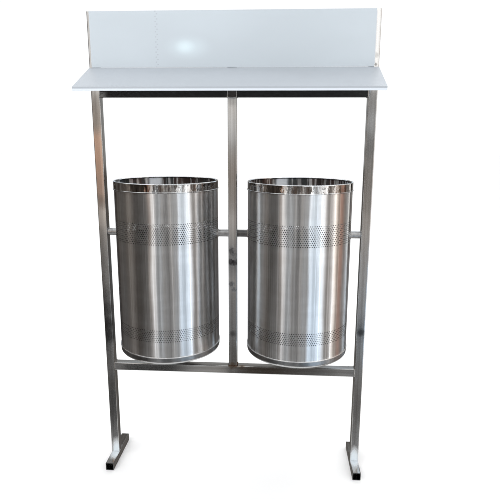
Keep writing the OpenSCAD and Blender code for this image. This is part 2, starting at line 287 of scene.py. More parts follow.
def polished(name, centre_x, foot=False):
    """Mirror-polished ring with the faint ripple left by hand buffing; painted reflections keep its colour darker than
    steel, with dark brown and pale patches.
    foot: the bucket's lower ring, duller, with painted highlights on its bead and its rolled edge."""
    t = Tree(name)
    x, y, z = t.xyz()
    ang = t.math("ARCTAN2", t.math("SUBTRACT", x, centre_x), t.math("MULTIPLY", y, -1.0))
    ripple = t.noise(t.vec(t.math("MULTIPLY", ang, 9.0), t.math("MULTIPLY", z, 60.0), 0.0), 1.0, 2.5, 0.5)
    scuff = t.noise(t.vec(t.math("MULTIPLY", ang, 60.0), t.math("MULTIPLY", z, 500.0), 3.0), 1.0, 3.0, 0.6)
    patch = t.noise(t.vec(t.math("MULTIPLY", ang, 5.0 if foot else 13.0), t.math("MULTIPLY", z, 9.0), 1.0), 1.0, 2.0, 0.5)
    if foot:
        rough = t.ramp(scuff, 0.5, 0.8, 0.34, 0.46)
        col = t.mix(t.ramp(patch, 0.4, 0.65), (0.22, 0.22, 0.22), (0.34, 0.335, 0.33))
    else:
        rough = t.ramp(scuff, 0.5, 0.8, 0.035, 0.12)
        # painted reflections: a base darker than steel, with dark brown and pale patches
        col = t.mix(t.ramp(ripple, 0.3, 0.7), (0.32, 0.31, 0.305), (0.48, 0.475, 0.47))
        col = t.mix(t.ramp(patch, 0.53, 0.60, 0.0, 0.8), col, (0.15, 0.115, 0.095))
        col = t.mix(t.ramp(patch, 0.45, 0.39, 0.0, 0.7), col, (0.80, 0.79, 0.78))
    # painted highlights: the upward faces of the beads and the rolled edge are painted brighter than the flat bands
    nx, ny, nz = t.xyz(t.n("NewGeometry").outputs["Normal"])
    col = t.mix(t.ramp(nz, 0.12, 0.5), col, (0.92, 0.915, 0.91))
    # painted highlight: on the lower ring the downward faces are painted bright too
    if foot:
        col = t.mix(t.ramp(nz, -0.10, -0.32), col, (0.95, 0.945, 0.94))
    return t.set(Base_Color=col, Metallic=1.0, Roughness=rough,
                 Normal=t.bump(ripple, 0.25 if foot else 0.6, 0.0018))


def white_sheet(name, tint, wave=0.3, dots=False, lip=False):
    """Smooth coated sheet with slight oil-canning and a hint of handling dust."""
    t = Tree(name)
    x, y, z = t.xyz()
    dust = t.noise(t.vec(x, y, z), 22.0, 2.0, 0.5)
    broad = t.noise(t.vec(t.math("MULTIPLY", x, 2.2), t.math("MULTIPLY", y, 5.0), t.math("MULTIPLY", z, 5.0)), 1.0, 2.0)
    dark = tuple(c * 0.93 for c in tint)
    col = t.mix(t.ramp(broad, 0.3, 0.7), dark, tint)
    col = t.mix(t.ramp(dust, 0.4, 0.8, 0.0, 0.06), col, tuple(c * 0.85 for c in tint))
    if dots:
        front = t.ramp(t.xyz(t.n("NewGeometry").outputs["Normal"])[1], -0.3, -0.6)
        # a seam of small evenly spaced marks down the protective film
        row = t.math("FRACT", t.math("MULTIPLY", z, 150.0))
        on = t.math("LESS_THAN", t.math("ABSOLUTE", t.math("SUBTRACT", row, 0.5)), 0.23)
        # every other mark stands a little to the right
        other = t.math("GREATER_THAN", t.math("FRACT", t.math("MULTIPLY", z, 75.0)), 0.5)
        col_x = t.math("MULTIPLY_ADD", other, 0.0045, -0.2125)
        col_at = t.math("LESS_THAN", t.math("ABSOLUTE", t.math("SUBTRACT", x, col_x)), 0.0019)
        mark = t.math("MULTIPLY", t.math("MULTIPLY", t.math("MULTIPLY", on, col_at), 0.8), front)
        col = t.mix(mark, col, (0.42, 0.45, 0.5))
        # a painted highlight: a broad pale bloom of reflected light on the film
        for bx, bz, rx, rz, s in ((-0.122, 1.295, 0.080, 0.040, 0.45), (-0.131, 1.297, 0.036, 0.024, 0.85)):
            d = t.n("VectorMath", operation="LENGTH")
            t.put(d.inputs[0], t.vec(t.math("MULTIPLY", t.math("SUBTRACT", x, bx), 1 / rx),
                                     t.math("MULTIPLY", t.math("SUBTRACT", z, bz), 1 / rz), 0.0))
            glow = t.math("MULTIPLY", t.ramp(d.outputs["Value"], 1.0, 0.0, 0.0, s), front)
            col = t.mix(glow, col, (0.69, 0.80, 0.85))
    if lip:
        # painted light: the rolled front edge is painted brighter, as lit from the front
        col = t.mix(t.ramp(z, 1.1745, 1.1725, 0.0, 0.9), col, tuple(min(0.95, c * 1.7) for c in tint))
    rough = t.ramp(dust, 0.2, 0.85, 0.30, 0.40)
    return t.set(Base_Color=col, Metallic=0.0, Roughness=rough,
                 Normal=t.bump(broad, wave, 0.006))


# The upper rail: a near-black colour that paints in the canopy's shade, with a painted lit patch at its left end.
def dark_paint(name):
    t = Tree(name)
    x, y, z = t.xyz()
    peel = t.noise(t.vec(x, y, z), 420.0, 2.0)
    wear = t.noise(t.vec(t.math("MULTIPLY", x, 30.0), t.math("MULTIPLY", y, 160.0), t.math("MULTIPLY", z, 160.0)), 1.0, 4.0, 0.6)
    col = t.mix(t.ramp(wear, 0.55, 0.75, 0.0, 0.6), (0.009, 0.0085, 0.0085), (0.035, 0.032, 0.03))
    # painted light: a lighter grey patch at the rail's left end, where light comes in beside the canopy
    end = t.math("MULTIPLY", t.ramp(x, -0.355, -0.375), t.ramp(wear, 0.38, 0.5))
    col = t.mix(t.math("MULTIPLY", end, 0.8), col, (0.15, 0.145, 0.14))
    t.bsdf.inputs["Specular IOR Level"].default_value = 0.35
    return t.set(Base_Color=col, Metallic=0.0, Roughness=t.ramp(wear, 0.3, 0.7, 0.38, 0.55),
                 Normal=t.bump(peel, 0.2, 0.0002))


def turned(name, base=(0.52, 0.51, 0.5), along="x", rough0=0.2):
    """Turned rod, washers and nuts: rings round the axis."""
    t = Tree(name)
    x, y, z = t.xyz()
    a = {"x": x, "y": y, "z": z}[along]
    rings = t.noise(t.vec(t.math("MULTIPLY", a, 1800.0), 0.0, 0.0), 1.0, 2.0)
    blot = t.noise(t.vec(x, y, z), 70.0, 3.0, 0.6)
    col = t.mix(t.ramp(blot, 0.4, 0.7), base, tuple(c * 0.72 for c in base))
    return t.set(Base_Color=col, Metallic=1.0,
                 Roughness=t.math("MULTIPLY_ADD", rings, 0.2, rough0),
                 Normal=t.bump(rings, 0.3, 0.00005))


def tape_foam(name):
    t = Tree(name)
    x, y, z = t.xyz()
    cells = t.noise(t.vec(x, y, z), 900.0, 2.0)
    col = t.mix(cells, (0.70, 0.71, 0.72), (0.82, 0.83, 0.84))
    return t.set(Base_Color=col, Roughness=0.85, Normal=t.bump(cells, 0.5, 0.0002))


def weld_metal(name, tint, tint2, metal=0.85):
    t = Tree(name)
    x, y, z = t.xyz()
    blot = t.noise(t.vec(x, y, z), 160.0, 3.0, 0.6)
    col = t.mix(t.ramp(blot, 0.35, 0.65), tint, tint2)
    return t.set(Base_Color=col, Metallic=metal, Roughness=t.ramp(blot, 0.3, 0.7, 0.3, 0.55),
                 Normal=t.bump(blot, 0.35, 0.0006))


def dress(node, material):
    """Gives a CAD node's object this material in each of its slots."""
    mesh = NODES[node].data
    if not mesh.materials:
        mesh.materials.append(material)
    for i in range(len(mesh.materials)):
        mesh.materials[i] = material


# ------------------------------------------------------- sizes from the frame
def mid(node):
    lo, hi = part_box(node)
    return (lo + hi) / 2


BIN = {s: mid(s + "_bin_shell") for s in ("left", "right")}
shell_lo, shell_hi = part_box("left_bin_shell")
R_OUT = (shell_hi.x - shell_lo.x) / 2
SHELL_Z0, SHELL_Z1 = shell_lo.z, shell_hi.z
SHEET = 0.001
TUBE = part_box("left_post")[1].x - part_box("left_post")[0].x
POST_X = abs(mid("right_post").x)
PIVOT = mid("center_pivot_rod").z
LOW_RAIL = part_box("lower_rail")
TOP_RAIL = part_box("upper_rail_left")


# ----------------------------------------------------------- mesh construction
def make_object(name, verts, faces, normals=None, material=None, origin=(0, 0, 0)):
    mesh = bpy.data.meshes.new(name)
    mesh.from_pydata(verts, [], faces)
    if material:
        mesh.materials.append(material)
    mesh.polygons.foreach_set("use_smooth", [True] * len(mesh.polygons))
    if normals is not None:
        mesh.normals_split_custom_set(normals)
    mesh.update()
    obj = bpy.data.objects.new(name, mesh)
    obj.location = origin
    scene.collection.objects.link(obj)
    return obj


def perforated_shell(name, r, t, z0, z1, bands, count, pitch_z, hole_r, material, inner, buffed, origin):
    """A rolled sheet whose bands of staggered round holes are really cut through.
    bands: (lowest hole row's centre, number of rows)."""
    half = math.pi / count                      # half the angle between holes
    n2 = 2 * count
    ring_angle = np.arange(n2) * half
    verts, vmap = [], {}

    def add(key, a, z, rr):
        if key not in vmap:
            vmap[key] = len(verts)
            verts.append((rr * math.sin(a), -rr * math.cos(a), z))
        return vmap[key]

    faces, normals, skin = [], [], []

    def radial(a, s):
        return (s * math.sin(a), -s * math.cos(a), 0.0)

    skins = (("o", r, 1.0), ("i", r - t, -1.0))
    levels = [z0]
    plan = []                                   # ("plain", za, zb) or ("row", zc, parity)
    z = z0
    for zc0, rows in bands:
        start = zc0 - pitch_z / 2
        steps = 8
        for k in range(steps):
            za = z + (start - z) * k / steps
            zb = z + (start - z) * (k + 1) / steps
            plan.append(("plain", za, zb, 0))
        for j in range(rows):
            plan.append(("row", start + j * pitch_z, start + (j + 1) * pitch_z, j % 2))
        z = start + rows * pitch_z
    for k in range(4):
        plan.append(("plain", z + (z1 - z) * k / 4, z + (z1 - z) * (k + 1) / 4, 0))

    circle = [(math.cos(k * math.pi / 4), math.sin(k * math.pi / 4)) for k in range(8)]
    for li, (kind, za, zb, parity) in enumerate(plan):
        for tag, rr, s in skins:
            if kind == "plain":
                for k in range(n2):
                    k2 = (k + 1) % n2
                    a, b = k * half, (k + 1) * half
                    q = [add((tag, li, k), a, za, rr), add((tag, li, k2), b, za, rr),
                         add((tag, li + 1, k2), b, zb, rr), add((tag, li + 1, k), a, zb, rr)]
                    ns = [radial(a, s), radial(b, s), radial(b, s), radial(a, s)]
                    if s < 0:
                        q.reverse(); ns.reverse()
                    faces.append(q); normals.extend(ns)
                    skin.append(0 if s > 0 else 2 if za > z + 0.02 else 1)
            else:
                zc = (za + zb) / 2
                for i in range(count):
                    m = 2 * i + parity
                    c = m * half
                    l, rgt = (m - 1) % n2, (m + 1) % n2
                    mm = m % n2
                    outer = [
                        (("m", tag, li, rgt), c + half, zc),
                        ((tag, li + 1, rgt), c + half, zb),
                        ((tag, li + 1, mm), c, zb),
                        ((tag, li + 1, l), c - half, zb),
                        (("m", tag, li, l), c - half, zc),
                        ((tag, li, l), c - half, za),
                        ((tag, li, mm), c, za),
                        ((tag, li, rgt), c + half, za),
                    ]
                    oi = [add(key, a, zz, rr) for key, a, zz in outer]
                    hole = []
                    for k in range(8):
                        a = c + hole_r * circle[k][0] / r
                        zz = zc + hole_r * circle[k][1]
                        hole.append((add(("h", tag, li, i, k), a, zz, rr), a))
                    for k in range(8):
                        k2 = (k + 1) % 8
                        q = [hole[k][0], oi[k], oi[k2], hole[k2][0]]
                        ns = [radial(hole[k][1], s), radial(outer[k][1], s),
                              radial(outer[k2][1], s), radial(hole[k2][1], s)]
                        if s < 0:
                            q.reverse(); ns.reverse()
                        faces.append(q); normals.extend(ns); skin.append(int(s < 0))
        if kind == "row":                       # the walls of the holes
            for i in range(count):
                c = (2 * i + parity) * half
                for k in range(8):
                    k2 = (k + 1) % 8
                    o1, o2 = vmap[("h", "o", li, i, k)], vmap[("h", "o", li, i, k2)]
                    i1, i2 = vmap[("h", "i", li, i, k)], vmap[("h", "i", li, i, k2)]
                    def wall(kk):
                        cx, cz = circle[kk]
                        return (-cx * math.cos(c), -cx * math.sin(c), -cz)
                    faces.append([o1, o2, i2, i1]); skin.append(1)
                    normals.extend([wall(k), wall(k2), wall(k2), wall(k)])
    last = len(plan)
    for k in range(n2):                         # the sheet's two cut edges
        k2 = (k + 1) % n2
        faces.append([vmap[("o", 0, k2)], vmap[("o", 0, k)], vmap[("i", 0, k)], vmap[("i", 0, k2)]])
        normals.extend([(0, 0, -1)] * 4)
        faces.append([vmap[("o", last, k)], vmap[("o", last, k2)], vmap[("i", last, k2)], vmap[("i", last, k)]])
        normals.extend([(0, 0, 1)] * 4)
        skin += [0, 0]
    obj = make_object(name, verts, faces, normals, material, origin)
    obj.data.materials.append(inner)
    obj.data.materials.append(buffed)
    obj.data.polygons.foreach_set("material_index", skin)
    obj.data.update()
    return obj


def bead(name, path, radius, material, closed=True, ripple=0.16, pitch=0.0028, sides=8, flat=1.0):
    """A weld bead: a rope of overlapping puddles along a path of points."""
    pts = [Vector(p) for p in path]
    if closed:
        pts.append(pts[0])
    # resample evenly
    seg = [(pts[i + 1] - pts[i]).length for i in range(len(pts) - 1)]
    total = sum(seg)
    n = max(12, int(total / (pitch / 4)))
    out, i, acc = [], 0, 0.0
    for k in range(n if closed else n + 1):
        d = total * k / n
        while i < len(seg) - 1 and d > acc + seg[i]:
            acc += seg[i]; i += 1
        out.append(pts[i].lerp(pts[i + 1], 0 if seg[i] == 0 else (d - acc) / seg[i]))
    m = len(out)
    verts, faces = [], []
    puddles = max(3, round(total / pitch))
    for k in range(m):
        a = out[k - 1] if (closed or k > 0) else out[k]
        b = out[(k + 1) % m] if (closed or k < m - 1) else out[k]
        fwd = (b - a).normalized()
        side = fwd.cross(Vector((0.0123, 0.317, 0.948)).normalized())
        if side.length < 0.2:
            side = fwd.cross(Vector((0.97, 0.21, 0.0)))
        side.normalize()
        up = side.cross(fwd).normalized()
        phase = (k / m) * puddles
        swell = 1.0 + ripple * (abs(math.sin(math.pi * phase)) - 0.5) * 2 + 0.06 * math.sin(k * 1.7 + total * 300)
        if not closed:
            end = min(k, m - 1 - k) / max(1, 0.5 * m * pitch / total * 2)
            swell *= min(1.0, 0.35 + end)
        for j in range(sides):
            th = 2 * math.pi * j / sides
            verts.append(out[k] + (side * math.cos(th) + up * math.sin(th) * flat) * radius * swell)
    for k in range(m if closed else m - 1):
        k2 = (k + 1) % m
        for j in range(sides):
            j2 = (j + 1) % sides
            faces.append([k * sides + j, k * sides + j2, k2 * sides + j2, k2 * sides + j])
    if not closed:
        faces.append([j for j in range(sides)][::-1])
        faces.append([(m - 1) * sides + j for j in range(sides)])
    obj = make_object(name, verts, faces, None, material)
    fix_normals(obj)
    return obj


def fix_normals(obj):
    import bmesh
    bm = bmesh.new()
    bm.from_mesh(obj.data)
    bmesh.ops.recalc_face_normals(bm, faces=bm.faces)
    bm.to_mesh(obj.data)
    bm.free()


def rounded_square(cx, cy, half, r, z, plane="xy", n=5):
    """Points round a tube's section, in a plane across the tube."""
    pts = []
    for qx, qy, a0 in ((1, 1, 0), (-1, 1, 90), (-1, -1, 180), (1, -1, 270)):
        for k in range(n):
            a = math.radians(a0 + 90 * k / (n - 1))
            pts.append((cx + qx * (half - r) + r * math.cos(a), cy + qy * (half - r) + r * math.sin(a)))
    if plane == "xy":
        return [(p[0], p[1], z) for p in pts]
    return [(z, p[0], p[1]) for p in pts]      # "yz": a section across X


# ------------------------------------------------------------------ the object
M_tube_z = tube_steel("tube_steel_upright", "z",
                      spots=[(0.0, -0.0127, LOW_RAIL[1].z + 0.002, 0.013, 0.95)],
                      smudges=[(-0.004, -0.0127, 0.718, 0.012, 0.75), (0.003, -0.0127, 0.705, 0.010, 0.6),
                               (-0.006, -0.0127, 0.682, 0.013, 0.9), (0.006, -0.0127, 0.681, 0.013, 0.85),
                               (-0.004, -0.0127, 0.613, 0.011, 0.6), (0.004, -0.0127, 0.597, 0.009, 0.5)],
                      # painted shade: the veils low on the posts are painted dark reflections, the one at 1.150 on the
                      # middle post is painted canopy shade; those high on the right post are real marks
                      grime=[(-0.3937, -0.0127, 0.475, 0.030, 0.7), (-0.3937, -0.0127, 0.435, 0.032, 0.7), (-0.3937, -0.0127, 0.525, 0.030, 0.45),
                             (-0.3937, -0.0127, 0.86, 0.030, 0.35),
                             (0.397, -0.0127, 1.273, 0.010, 0.35), (0.397, -0.0127, 1.2485, 0.006, 0.75), (0.0, -0.0127, 0.453, 0.014, 0.6), (0.0, -0.0127, 1.150, 0.018, 0.30), (0.3937, -0.0127, 0.467, 0.016, 0.75)],
                      # painted highlights: pale glows at the posts' feet
                      frost=[(-0.388, -0.0127, 0.030, 0.020, 0.05, 0.050, 1.0), (0.3937, -0.0127, 0.030, 0.020, 0.05, 0.048, 1.0)],
                      top_z=1.1622)
M_tube_x = tube_steel("tube_steel_rail", "x",
                      spots=[(0.0, -0.0127, LOW_RAIL[1].z + 0.001, 0.016, 0.9), (0.028, -0.0127, LOW_RAIL[1].z - 0.001, 0.012, 0.8)],
                      soot=[(0.006, -0.0127, LOW_RAIL[0].z + 0.010, 0.013, 0.7)])
# painted highlights: pale glows on the feet's tops by the posts
M_tube_y = tube_steel("tube_steel_foot", "y", frost_side="z",
                      frost=[(-0.391, -0.016, 0.0254, 0.024, 0.042, 0.05, 1.0), (0.3937, -0.016, 0.0254, 0.024, 0.036, 0.05, 0.9)])
M_dark = dark_paint("upper_rail_painted_shade")
M_panel = white_sheet("sign_panel_sheet", (0.545, 0.60, 0.645), 0.3, dots=True)
# painted shade: the canopy's tint is darker than the panel's, the sloping top's shading painted in
M_canopy = white_sheet("canopy_sheet", (0.405, 0.437, 0.475), 0.12, lip=True)
M_turned = turned("turned_steel")
# the right bucket's inner sleeve is given a darker colour
M_oiled = turned("dark_sleeve", (0.17, 0.165, 0.16), "x", 0.28)
M_zinc = turned("plain_fastener", (0.45, 0.45, 0.46), "x", 0.3)
M_rivet = turned("rivet_metal", (0.6, 0.6, 0.6), "y", 0.3)
M_tape = tape_foam("foam_tape")
M_inside = mill_finish("bucket_inside_steel")
M_weld = weld_metal("weld_bead", (0.34, 0.31, 0.28), (0.5, 0.48, 0.46))
# painted highlight: the feet's front weld bead is pale to carry the painted glow over it
M_weld_pale = weld_metal("weld_bead_painted_glow", (0.55, 0.60, 0.63), (0.76, 0.80, 0.83), 0.15)
M_weld_hot = weld_metal("weld_bead_tinted", (0.075, 0.05, 0.04), (0.16, 0.10, 0.065))

for n in ("left_post", "right_post", "center_post", "post_caps"):
    dress(n, M_tube_z)
dress("lower_rail", M_tube_x)
for n in ("left_foot", "right_foot"):
    dress(n, M_tube_y)
for n in ("upper_rail_left", "upper_rail_right"):
    dress(n, M_dark)
dress("sign_panel", M_panel)
for n in ("canopy", "canopy_bracket_left", "canopy_bracket_center", "canopy_bracket_right"):
    dress(n, M_canopy)
dress("canopy_rivets", M_rivet)
dress("panel_tape", M_tape)
for n in ("left_pivot_rod", "center_pivot_rod", "right_pivot_rod"):
    dress(n, M_turned)
for n in ("thrust_washers", "retaining_washers", "lock_nuts"):
    dress(n, M_zinc)

for side in ("left", "right"):
    cx = BIN[side].x
    ring = polished("polished_ring_" + side, cx)
    dress(side + "_bin_rim", ring)
    dress(side + "_bin_base_ring", polished("base_ring_" + side, cx, foot=True))
    for n in ("outer_sleeve", "inner_sleeve"):
        dress(side + "_bin_" + n, M_oiled if (side, n) == ("right", "inner_sleeve") else M_turned)
    # painted shade: the bottom and the doublers take the darkened inside colour too
    for n in ("bottom", "outer_doubler", "inner_doubler"):
        dress(side + "_bin_" + n, M_inside)
    sheet = perforated_shell(
        side + "_bucket_sheet", R_OUT, SHEET, SHELL_Z0, SHELL_Z1,
        [(0.4755, 7), (0.7600, 11)], 150, 0.0056, 0.0016,
        bucket_steel("bucket_steel_" + side, 0.0 if side == "left" else 4.0), M_inside,
        buffed_inside("inside_painted_reflections_" + side, 3.0 if side == "left" else 8.0, -0.066 if side == "left" else -0.053),
        (cx, BIN[side].y, 0.0))
    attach(sheet, side + "_bin")
    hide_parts(side + "_bin_shell")

# ------------------------------------------------------------------ weld beads
def weld(name, path, radius, body="stand", metal=None, **kw):
    b = bead(name, path, radius, metal or M_weld, **kw)
    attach(b, body)
    return b


h = TUBE / 2
for side, sx in (("left", -1), ("right", 1)):
    x = sx * POST_X
    weld(f"weld_{side}_foot_front", [(x - h + 0.003, -h - 0.0008, TUBE + 0.0006), (x + h - 0.003, -h - 0.0008, TUBE + 0.0006)], 0.0019, metal=M_weld_pale, closed=False)
    weld(f"weld_{side}_foot_back", [(x - h + 0.003, h + 0.0008, TUBE + 0.0006), (x + h - 0.003, h + 0.0008, TUBE + 0.0006)], 0.0019, closed=False)
    face = sx * (POST_X - h)
    for label, box in (("lower", LOW_RAIL), ("upper", TOP_RAIL)):
        zc = (box[0].z + box[1].z) / 2
        weld(f"weld_{side}_{label}_rail", rounded_square(0, zc, h + 0.0002, 0.002, face - sx * 0.0004, "yz"), 0.0014)
weld("weld_center_post_foot", rounded_square(0, 0, h + 0.0004, 0.002, LOW_RAIL[1].z + 0.0006), 0.0021, metal=M_weld_hot, ripple=0.22)
for sx, label in ((-1, "left"), (1, "right")):
    zc = (TOP_RAIL[0].z + TOP_RAIL[1].z) / 2
    weld(f"weld_center_{label}_rail", rounded_square(0, zc, h + 0.0002, 0.002, sx * (h + 0.0004), "yz"), 0.0014)
for side in ("left", "right"):
    cx = BIN[side].x
    for sx, label in ((-1, "a"), (1, "b")):
        rs = (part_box(side + "_bin_inner_sleeve")[1].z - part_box(side + "_bin_inner_sleeve")[0].z) / 2 + 0.0003
        path = []
        for k in range(40):
            a = 2 * math.pi * k / 40
            yy, zz = rs * math.cos(a), rs * math.sin(a)
            path.append((cx + sx * (math.sqrt(R_OUT ** 2 - yy * yy) + 0.0004), yy, PIVOT + zz))
        weld(f"weld_{side}_sleeve_{label}", path, 0.0016, side + "_bin")

# ------------------------------------------------------------------ the camera
def fit_camera(pos, pitch, yaw, roll, lens):
    p, w, r = (math.radians(v) for v in (pitch, yaw, roll))
    m = Matrix.Rotation(w, 3, "Z") @ Matrix.Rotation(p, 3, "X") @ Matrix.Rotation(r, 3, "Y")
    right, fwd, up = m.col[0], m.col[1], m.col[2]
    rot = Matrix((right, up, -fwd)).transposed()
    cam = bpy.data.cameras.new("camera")
    cam.sensor_width = 36.0
    cam.lens = lens
    cam.clip_start, cam.clip_end = 0.05, 60.0
    ob = bpy.data.objects.new("camera", cam)
    ob.matrix_world = Matrix.Translation(Vector(pos)) @ rot.to_4x4()
    scene.collection.objects.link(ob)
    scene.camera = ob
    return ob


fit_camera((0.14255, -1.5294, 1.0486), -12.19, 3.39, -0.21, 37.26)

# ------------------------------------------------------------- floor and light
def stage_plane(name, verts, faces, material, **vis):
    mesh = bpy.data.meshes.new(name)
    mesh.from_pydata(verts, [], faces)
    mesh.materials.append(material)
    ob = bpy.data.objects.new(name, mesh)
    scene.collection.objects.link(ob)
    for k, v in vis.items():
        setattr(ob, k, v)
    return ob


floor_mat = Tree("pale_floor")
fx, fy, fz = floor_mat.xyz()
grain = floor_mat.noise(floor_mat.vec(fx, fy, fz), 3.0, 3.0)
floor_mat.set(Base_Color=floor_mat.mix(grain, (0.945, 0.945, 0.948), (0.97, 0.97, 0.972)), Roughness=0.75)
floor_mat.bsdf.inputs["Specular IOR Level"].default_value = 0.15
N = 96
ring_pts = [(40 * math.cos(2 * math.pi * k / N), 40 * math.sin(2 * math.pi * k / N), 0.0) for k in range(N)]
stage_plane("floor", ring_pts, [list(range(N))], floor_mat.mat, visible_glossy=False)

# The studio round the object, seen only by reflections: a round wall of upright
# flats in white, grey, tan and dark cloth, standing on a dark floor.
# Each band is (azimuth from -Y towards +X in degrees, brightness, warmth).
BANDS_A = [
    (-180, 0.10, 0.2), (-150, 0.13, 0.1), (-142, 0.08, 0.1), (-134, 0.13, 0.1), (-127, 0.12, 0.1), (-121, 0.07, 0.4),
    (-116, 0.09, 0.3), (-111, 0.11, 0.3), (-104, 0.12, 0.3), (-97, 0.11, 0.2), (-92, 0.11, 0.3), (-84, 0.14, 0.4),
    (-78, 0.20, 0.4), (-75, 0.26, 0.4), (-69, 0.10, 0.5), (-63, 0.055, 0.6), (-57, 0.035, 0.6), (-48, 0.045, 0.6),
    (-40, 0.055, 0.6), (-36, 0.10, 0.5), (-33, 0.28, 0.4), (-30.5, 1.05, 0.2),
]
BANDS_B = [
    (-30.5, 1.05, 0.2), (-28.5, 1.30, 0.1), (-23.5, 1.15, 0.1), (-21.5, 0.72, 0.0), (-19, 0.40, -0.1), (-16, 0.27, -0.1),
    (-13.6, 0.36, -0.1), (-12, 1.25, -0.1), (-10.6, 0.25, -0.1), (-8, 0.36, 0.0), (-6, 0.70, -0.1), (-3.5, 0.46, 0.0),
    (0, 0.26, 0.1), (3.5, 0.155, 0.2), (6.5, 0.145, 0.2), (9, 0.32, 0.1), (11.5, 0.64, 0.2), (14, 0.32, 0.1),
    (18, 0.52, 0.0), (21, 0.44, 0.0), (25, 0.48, 0.0), (27.5, 0.80, 0.0), (29.5, 2.30, -0.1), (32.5, 1.40, -0.2),
    (35.5, 1.18, -0.2), (38, 1.22, -0.2), (41.5, 0.80, -0.25),
]
BANDS_C = [
    (41.5, 0.80, -0.25), (44, 1.60, -0.1), (50, 2.15, -0.1), (57, 2.10, 0.0), (60, 0.85, 0.1), (62.5, 0.28, 0.2),
    (66, 0.37, 0.3), (70, 0.42, 0.3), (72.6, 0.52, 0.2), (75.2, 1.5, 0.1), (78.2, 2.35, 0.2), (82.2, 2.05, 0.3),
    (85.3, 0.56, 0.8), (88.0, 0.40, 0.5), (92.0, 0.38, 0.5), (93.0, 0.43, 1.4, 0.8), (98, 0.43, 1.4, 0.8), (102, 0.27, 1.1, 0.6), (106, 0.20, 0.4), (110, 0.34, 0.3), (116, 0.42, 0.1),
    (123, 0.13, 0.1), (127, 0.06, 0.2), (133, 0.20, 0.3), (138, 0.36, 0.1), (143, 0.20, 0.2),
    (150, 0.08, 0.3), (180, 0.10, 0.2),
]
# what the wall's foot shows, by azimuth, and what its three posts' places show, by height
FLOOR_TONES = [
    (-180, 0.12, 0.2), (-60, 0.12, 0.3), (-34, 0.02, 0.1), (-19, 0.05, 0.0), (-15, 0.34, 0.0), (-8, 0.38, 0.1),
    (-4, 0.05, 0.7), (4, 0.045, 0.7), (8, 0.08, 0.3), (15, 0.13, 0.0), (21, 0.30, 0.0), (30, 0.18, 0.1), (60, 0.28, 0.2), (180, 0.12, 0.2),
]
LEFT_TONES = [   # (height, brightness, warmth)
    (-1.00, 1.10, -0.3), (-0.88, 0.60, -0.3), (-0.80, 0.10, -0.2), (-0.62, 0.065, 0.0), (-0.40, 0.09, 0.0), (-0.25, 0.19, 0.0),
    (-0.14, 0.09, -0.1), (-0.07, 0.015, -0.1), (0.08, 0.02, 0.0), (0.205, 0.055, 0.2), (0.235, 0.13, 0.2), (0.40, 0.20, 0.1),
    (0.54, 0.32, 0.2), (0.60, 0.58, 0.3), (0.675, 0.68, 0.3), (0.685, 0.41, 0.9, 0.2), (0.80, 0.44, 1.3, 0.5), (0.95, 0.57, 1.5, 0.5),
    (1.05, 0.69, 1.4, 0.5), (1.09, 0.42, 0.5), (1.25, 0.44, 0.3), (1.32, 1.20, 0.0), (1.75, 1.60, 0.0),
]
CENTER_TONES = [
    (-0.40, 0.08, 0.4), (-0.27, 0.07, 0.3), (-0.12, 0.11, 0.2), (0.02, 0.16, 0.3), (0.13, 0.19, 0.3), (0.22, 0.35, 0.2),
    (0.30, 0.11, 0.2), (0.37, 0.12, 0.2), (0.41, 0.30, 0.2), (0.50, 0.40, 0.2), (0.58, 0.56, 0.2), (0.66, 0.30, 0.4),
    (0.85, 0.28, 0.6), (0.95, 0.42, 0.3), (1.01, 0.50, 0.1), (1.05, 0.80, 0.0), (1.12, 1.00, 0.0), (1.22, 1.10, 0.1),
    (1.35, 0.80, 0.0), (1.75, 0.90, 0.0),
]
RIGHT_TONES = [
    (-1.05, 1.20, -0.3), (-0.94, 0.60, -0.3), (-0.86, 0.10, -0.1), (-0.66, 0.07, 0.3), (-0.45, 0.10, 0.4), (-0.38, 0.20, 0.1),
    (-0.15, 0.21, 0.0), (-0.09, 0.16, 0.1), (-0.06, 0.03, 0.1), (-0.02, 0.04, 0.1), (0.02, 0.20, 0.1), (0.16, 0.30, 0.2),
    (0.30, 0.38, 0.2), (0.60, 0.40, 0.3), (0.65, 0.20, 0.5), (0.85, 0.17, 0.5), (0.93, 0.22, 0.2), (0.97, 0.12, 0.1),
    (1.04, 0.15, 0.0), (1.09, 0.38, -0.1), (1.15, 0.48, -0.1), (1.19, 0.32, 0.0), (1.30, 0.30, 0.1), (1.35, 1.95, 0.0),
    (1.75, 1.95, 0.0),
]
WALL_R = 1.5


class FlatTree(Tree):
    """An emission-only material."""

    def __init__(self, name):
        super().__init__(name)
        self.t.nodes.remove(self.bsdf)
        self.glow = self.n("Emission")
        self.t.links.new(self.glow.outputs[0], self.out.inputs[0])
        self.mat.cycles.emission_sampling = "NONE"

    def tones(self, value, stops, lo, hi):
        """A colour ramp over value, which runs from lo to hi."""
        node = self.n("ValToRGB")
        self.put(node.inputs[0], self.ramp(value, lo, hi, smooth=False))
        cr = node.color_ramp
        cr.interpolation = "LINEAR"
        while len(cr.elements) > 1:
            cr.elements.remove(cr.elements[0])
        for k, (at, g, warm, *rest) in enumerate(stops):
            red = rest[0] if rest else 0.0
            pos = min(1.0, max(0.0, (at - lo) / (hi - lo)))
            e = cr.elements[0] if k == 0 else cr.elements.new(pos)
            e.position = pos
            e.color = (g * (1 + 0.28 * warm + 0.05 * red), g * (1 - 0.03 * warm - 0.10 * red),
                       g * (1 - 0.29 * warm + 0.12 * red), 1.0)
        return node.outputs[0]


